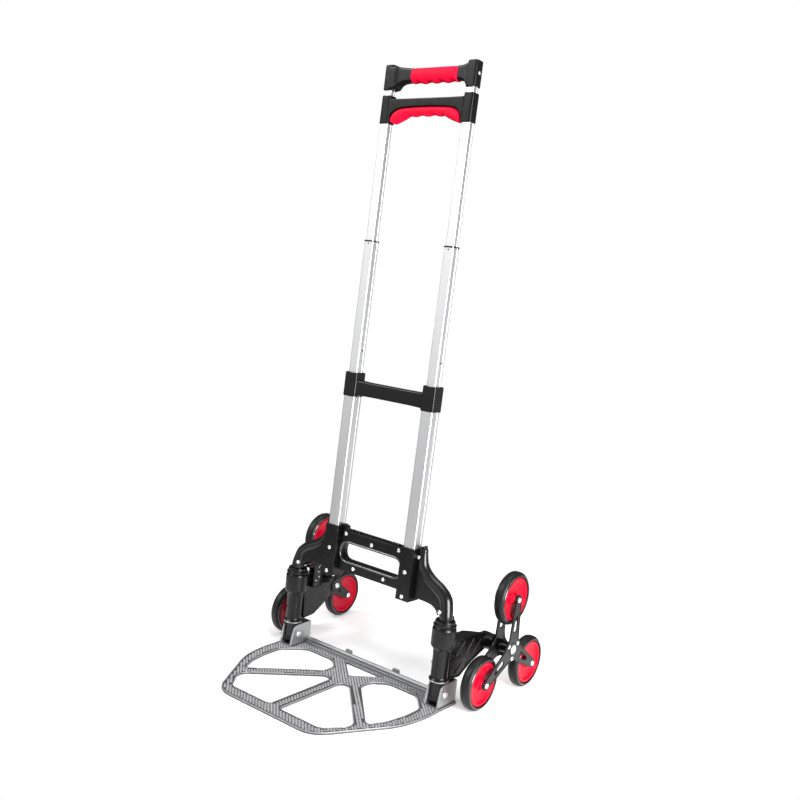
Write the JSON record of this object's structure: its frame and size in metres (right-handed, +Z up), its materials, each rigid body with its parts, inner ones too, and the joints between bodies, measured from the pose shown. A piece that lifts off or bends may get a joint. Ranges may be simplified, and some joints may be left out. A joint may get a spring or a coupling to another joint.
{
  "type": "stair climbing trolley",
  "caption": "Folding hand trolley with telescopic rails, lattice toe plate and three-wheel star clusters for climbing stairs.",
  "frame": {"origin": "centre of the bounding box, on the ground", "axes": "+X to the right seen from the toe plate side, +Y to the rear where the wheels are, +Z up"},
  "size_m": [0.4924, 0.5019, 1.1008],
  "materials": {
    "tyre": "matt black rubber with a rounded tread",
    "red_hub": "glossy red moulding",
    "red_grip": "soft red grip",
    "rail_aluminium": "satin anodised",
    "bracket_aluminium": "satin",
    "cast_plate": "fine ribbed anti-slip top",
    "dark_steel": "dark grey satin",
    "bolt_steel": "zinc plated",
    "black_metal": "black, half gloss",
    "black_plastic": "black moulded plastic, satin"
  },
  "bodies": {
    "base": {"frame_front_shell": "black_plastic", "frame_rear_shell": "black_plastic", "crossbar": "black_plastic", "leg_tube_left": "black_metal", "leg_tube_right": "black_metal", "outer_rail_left": "rail_aluminium", "outer_rail_right": "rail_aluminium", "leg_collar_left": "black_plastic", "leg_collar_right": "black_plastic", "foot_block_left": "black_plastic", "foot_block_right": "black_plastic", "post_washer_left": "bolt_steel", "post_washer_right": "bolt_steel"},
    "toe": {"toe_plate": "cast_plate", "toe_rear_bar": "bracket_aluminium", "toe_bracket_left": "bracket_aluminium", "toe_bracket_right": "bracket_aluminium", "toe_hinge_pin_left": "bolt_steel", "toe_hinge_pin_right": "bolt_steel"},
    "arm_left": {"wheel_arm_left": "black_plastic", "hub_axle_left": "bolt_steel"},
    "arm_right": {"wheel_arm_right": "black_plastic", "hub_axle_right": "bolt_steel"},
    "spider_left": {"spider_outer_left": "dark_steel", "spider_inner_left": "dark_steel", "hub_sleeve_left": "dark_steel", "axle_bolt_top_left": "bolt_steel", "axle_bolt_front_left": "bolt_steel", "axle_bolt_rear_left": "bolt_steel"},
    "spider_right": {"spider_outer_right": "dark_steel", "spider_inner_right": "dark_steel", "hub_sleeve_right": "dark_steel", "axle_bolt_top_right": "bolt_steel", "axle_bolt_front_right": "bolt_steel", "axle_bolt_rear_right": "bolt_steel"},
    "wheel_top_left": {"tyre_top_left": "tyre", "rim_top_left": "red_hub"},
    "wheel_front_left": {"tyre_front_left": "tyre", "rim_front_left": "red_hub"},
    "wheel_rear_left": {"tyre_rear_left": "tyre", "rim_rear_left": "red_hub"},
    "wheel_top_right": {"tyre_top_right": "tyre", "rim_top_right": "red_hub"},
    "wheel_front_right": {"tyre_front_right": "tyre", "rim_front_right": "red_hub"},
    "wheel_rear_right": {"tyre_rear_right": "tyre", "rim_rear_right": "red_hub"},
    "mid_stage": {"mid_tube_left": "rail_aluminium", "mid_tube_right": "rail_aluminium", "tube_collar_left": "black_plastic", "tube_collar_right": "black_plastic"},
    "inner_stage": {"inner_tube_left": "rail_aluminium", "inner_tube_right": "rail_aluminium", "lower_handle": "black_plastic", "lower_grip": "red_grip"},
    "top_stage": {"top_tube_left": "rail_aluminium", "top_tube_right": "rail_aluminium", "upper_handle": "black_plastic", "upper_grip": "red_grip"}
  },
  "joints": [
    {"name": "mid_slide", "type": "slide", "parent": "base", "child": "mid_stage", "axis": [0, 0.0314, 0.9995], "range_m": [-0.236, 0]},
    {"name": "inner_slide", "type": "slide", "parent": "mid_stage", "child": "inner_stage", "axis": [0, 0.0314, 0.9995], "range_m": [-0.206, 0]},
    {"name": "top_slide", "type": "slide", "parent": "inner_stage", "child": "top_stage", "axis": [0, 0.0314, 0.9995], "range_m": [-0.009, 0]},
    {"name": "toe_fold", "type": "hinge", "parent": "base", "child": "toe", "pos_m": [0, 0.0006, 0.0246], "axis": [-1, 0, 0], "range_deg": [0, 86]},
    {"name": "arm_fold_right", "type": "hinge", "parent": "base", "child": "arm_right", "pos_m": [0.1745, -0.0035, 0.1], "axis": [0, 0, 1], "range_deg": [0, 45]},
    {"name": "arm_fold_left", "type": "hinge", "parent": "base", "child": "arm_left", "pos_m": [-0.1745, -0.0035, 0.1], "axis": [0, 0, -1], "range_deg": [0, 45]},
    {"name": "cluster_spin_left", "type": "hinge", "parent": "arm_left", "child": "spider_left", "pos_m": [-0.22725, 0.1234, 0.0939], "axis": [1, 0, 0], "continuous": true},
    {"name": "wheel_spin_top_left", "type": "hinge", "parent": "spider_left", "child": "wheel_top_left", "pos_m": [-0.22725, 0.1234, 0.1857], "axis": [1, 0, 0], "continuous": true},
    {"name": "wheel_spin_front_left", "type": "hinge", "parent": "spider_left", "child": "wheel_front_left", "pos_m": [-0.22725, 0.0439, 0.048], "axis": [1, 0, 0], "continuous": true},
    {"name": "wheel_spin_rear_left", "type": "hinge", "parent": "spider_left", "child": "wheel_rear_left", "pos_m": [-0.22725, 0.2029, 0.048], "axis": [1, 0, 0], "continuous": true},
    {"name": "cluster_spin_right", "type": "hinge", "parent": "arm_right", "child": "spider_right", "pos_m": [0.22725, 0.1234, 0.0939], "axis": [1, 0, 0], "continuous": true},
    {"name": "wheel_spin_top_right", "type": "hinge", "parent": "spider_right", "child": "wheel_top_right", "pos_m": [0.22725, 0.1234, 0.1857], "axis": [1, 0, 0], "continuous": true},
    {"name": "wheel_spin_front_right", "type": "hinge", "parent": "spider_right", "child": "wheel_front_right", "pos_m": [0.22725, 0.0439, 0.048], "axis": [1, 0, 0], "continuous": true},
    {"name": "wheel_spin_rear_right", "type": "hinge", "parent": "spider_right", "child": "wheel_rear_right", "pos_m": [0.22725, 0.2029, 0.048], "axis": [1, 0, 0], "continuous": true}
  ],
  "couplings": [
    {"joint": "arm_fold_left", "follows": "arm_fold_right", "ratio": 1},
    {"joint": "toe_fold", "follows": "arm_fold_right", "ratio": 1.9}
  ]
}
